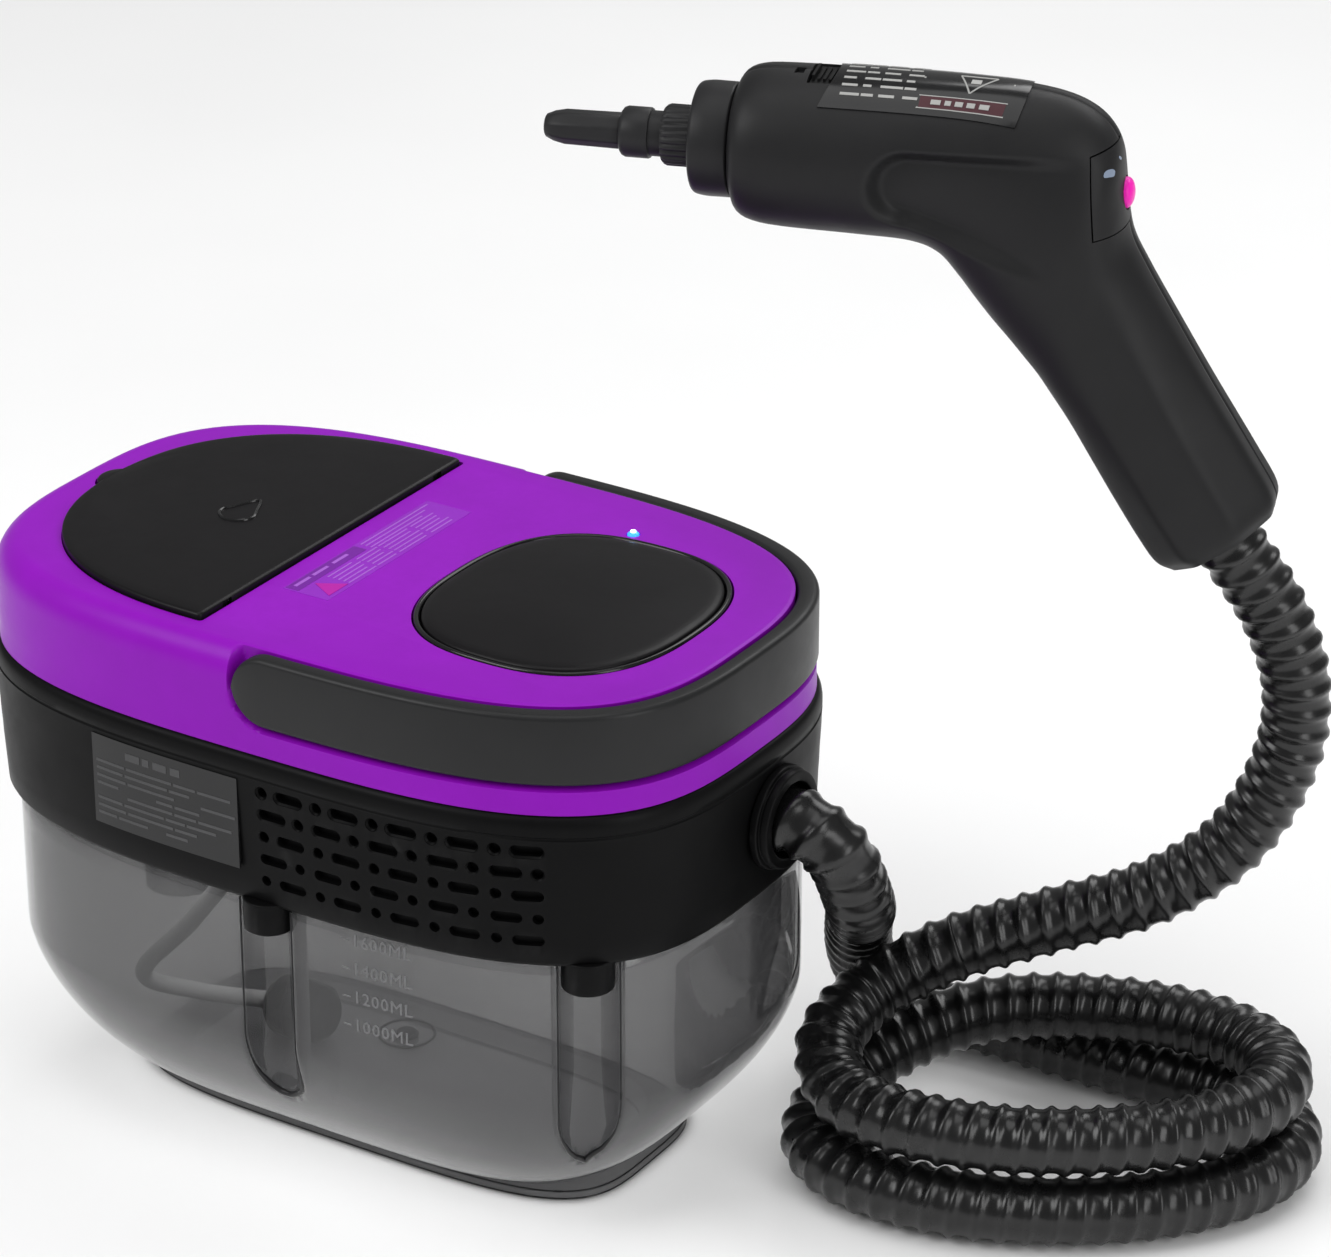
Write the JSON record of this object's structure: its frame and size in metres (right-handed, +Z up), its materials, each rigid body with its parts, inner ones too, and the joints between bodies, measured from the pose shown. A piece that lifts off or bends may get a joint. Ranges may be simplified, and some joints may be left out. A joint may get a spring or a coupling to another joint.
{
  "type": "wallpaper steamer",
  "caption": "Canister wallpaper steamer: a boat-shaped water tank base with folding carry handle and fill lid, and a ribbed hose running to a hand gun with a pull-out jet nozzle.",
  "frame": {"origin": "centre of the foot pad, in the plane it stands on", "axes": "+X towards the end the hose leaves from, +Y towards the long side away from the viewer, +Z up"},
  "size_m": [0.3994, 0.2958, 0.3357],
  "materials": {
    "purple_plastic": "satin purple moulding",
    "black_plastic": "satin black",
    "gloss_black": "polished black",
    "charcoal_plastic": "fine matt charcoal",
    "pink_plastic": "bright pink",
    "smoked_tank": "translucent smoke grey",
    "lamp_lens": "frosted lens",
    "pad_rubber": "matt black rubber",
    "seal_silicone": "grey silicone",
    "hose_plastic": "ribbed gloss black",
    "steel": "zinc-plated",
    "boiler_aluminium": "cast, bead blasted",
    "brass": "drawn",
    "circuit_board": "solder-masked board"
  },
  "bodies": {
    "base": {"anti_slip_pad": "seal_silicone", "tank": "smoked_tank", "tank_seal": "seal_silicone", "inner_deck": "black_plastic", "tank_screw_near_middle": "steel", "tank_screw_far_middle": "steel", "tank_screw_near_corner": "steel", "tank_screw_far_corner": "steel", "mid_band": "black_plastic", "top_cover": "purple_plastic", "led_lens": "lamp_lens", "lid_hinge_pin": "steel", "fill_tray": "black_plastic", "filler_neck": "smoked_tank", "fill_strainer": "seal_silicone", "handle_pin_near": "steel", "handle_pin_far": "steel", "pod_bezel": "gloss_black", "boiler": "boiler_aluminium", "boiler_strap": "steel", "thermostat": "gloss_black", "thermal_fuse": "steel", "safety_valve": "brass", "pump": "black_plastic", "pump_bush": "pad_rubber", "power_switch": "gloss_black", "control_board": "circuit_board", "suction_tube": "seal_silicone", "suction_filter": "pad_rubber", "feed_tube": "seal_silicone", "steam_outlet_pipe": "brass", "hose_collar": "black_plastic", "cord_grommet": "pad_rubber", "power_cord": "pad_rubber", "power_plug": "pad_rubber", "hose_lower": "hose_plastic", "steam_tube_lower": "seal_silicone", "hose_cable_lower": "pad_rubber"},
    "lid": {"water_lid": "black_plastic", "lid_seal": "seal_silicone"},
    "handle": {"carry_handle": "charcoal_plastic"},
    "button": {"power_button": "black_plastic"},
    "hose_end": {"hose_upper": "hose_plastic", "steam_tube_upper": "seal_silicone", "hose_cable_upper": "pad_rubber"},
    "gun": {"gun_shell_left": "charcoal_plastic", "gun_shell_right": "charcoal_plastic", "control_panel": "charcoal_plastic", "heat_lamp_lens": "lamp_lens", "steam_switch": "gloss_black", "gun_steam_pipe": "brass", "nozzle_socket": "black_plastic", "nose_ring": "black_plastic", "hose_ferrule": "black_plastic", "gun_screw_barrel": "steel", "gun_screw_grip": "steel"},
    "gun_button": {"steam_button": "pink_plastic"},
    "latch": {"release_latch": "black_plastic"},
    "nozzle": {"extension_nozzle": "black_plastic"},
    "tip": {"jet_tip": "black_plastic"}
  },
  "joints": [
    {"name": "lid_hinge", "type": "hinge", "parent": "base", "child": "lid", "pos_m": [-0.026, 0, 0.1812], "axis": [0, 1, 0], "range_deg": [0, 100]},
    {"name": "handle_fold", "type": "hinge", "parent": "base", "child": "handle", "pos_m": [0.0065, 0, 0.1698], "axis": [0, -1, 0], "range_deg": [0, 90]},
    {"name": "power_button_press", "type": "slide", "parent": "base", "child": "button", "axis": [0, 0, -1], "range_m": [0, 0.002], "stiffness_N_per_m": 400, "springref_m": -0.002},
    {"name": "hose_sway", "type": "hinge", "parent": "base", "child": "hose_end", "pos_m": [0.13321, 0.0558, 0.0475], "axis": [-0.5313, 0.8472, 0], "range_deg": [0, 12]},
    {"name": "gun_swivel", "type": "hinge", "parent": "hose_end", "child": "gun", "pos_m": [0.21927, 0.10279, 0.20126], "axis": [-0.5421, -0.1876, 0.8191], "range_deg": [-45, 45]},
    {"name": "steam_button_press", "type": "slide", "parent": "gun", "child": "gun_button", "axis": [-0.945, -0.3271, 0], "range_m": [0, 0.0025], "stiffness_N_per_m": 300, "springref_m": -0.002},
    {"name": "release_slide", "type": "slide", "parent": "gun", "child": "latch", "axis": [0.945, 0.3271, 0], "range_m": [0, 0.004], "stiffness_N_per_m": 200, "springref_m": -0.002},
    {"name": "nozzle_pull", "type": "slide", "parent": "gun", "child": "nozzle", "axis": [-0.945, -0.3271, 0], "range_m": [0, 0.035]},
    {"name": "tip_pull", "type": "slide", "parent": "nozzle", "child": "tip", "axis": [-0.945, -0.3271, 0], "range_m": [0, 0.02]}
  ]
}
